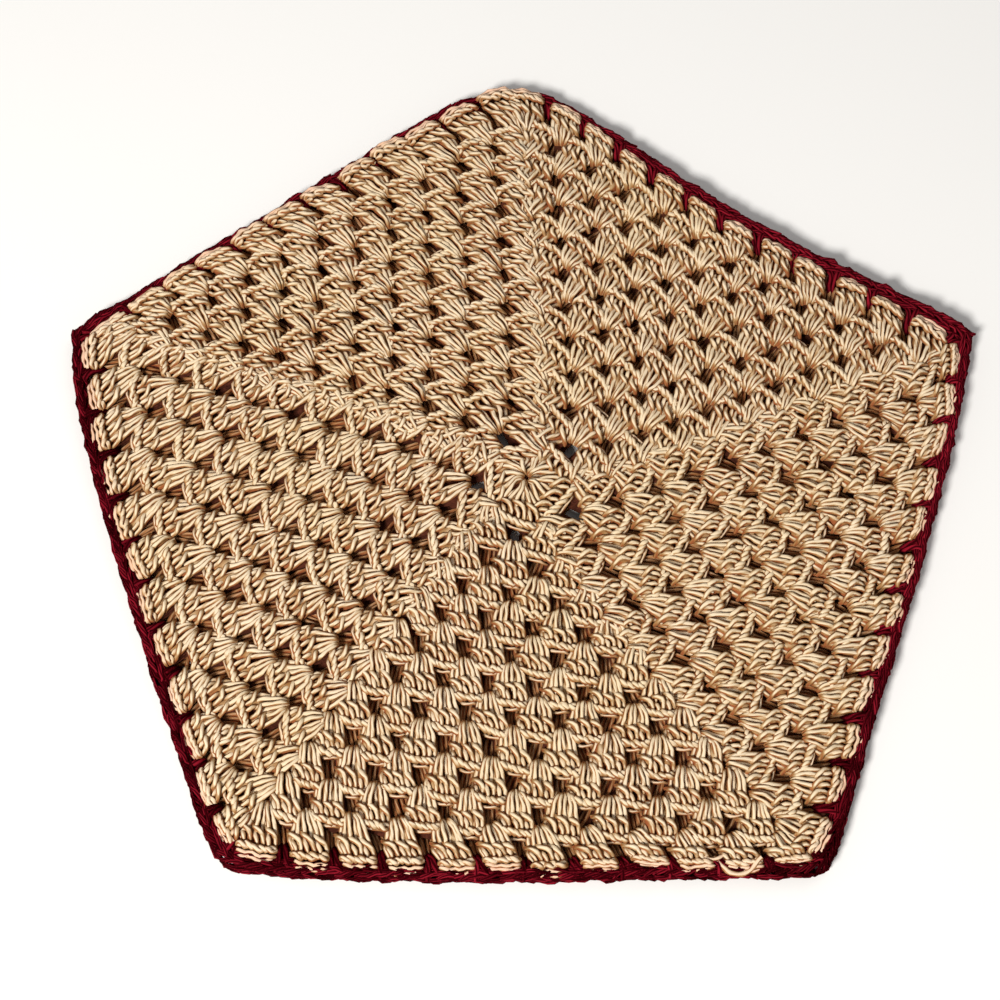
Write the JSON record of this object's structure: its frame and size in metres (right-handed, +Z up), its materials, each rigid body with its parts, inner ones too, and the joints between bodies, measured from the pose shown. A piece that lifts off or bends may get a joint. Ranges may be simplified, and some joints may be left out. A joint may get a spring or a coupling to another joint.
{
  "type": "crocheted pot holder",
  "caption": "Flat five-sided pot holder crocheted in clusters, two layers thick, joined round the rim by a contrasting edging.",
  "frame": {"origin": "middle of the mat's width and depth, on the surface that it lies on", "axes": "+Z up out of the mat's front, +Y towards the corner that is opposite a side, +X along that side"},
  "size_m": [0.2222, 0.2047, 0.0063],
  "materials": {
    "cream_cotton": "matte",
    "dark_red_cotton": "matte"
  },
  "bodies": {
    "root": {"back_panel": "cream_cotton", "front_panel": "cream_cotton", "edging": "dark_red_cotton"}
  },
  "joints": []
}
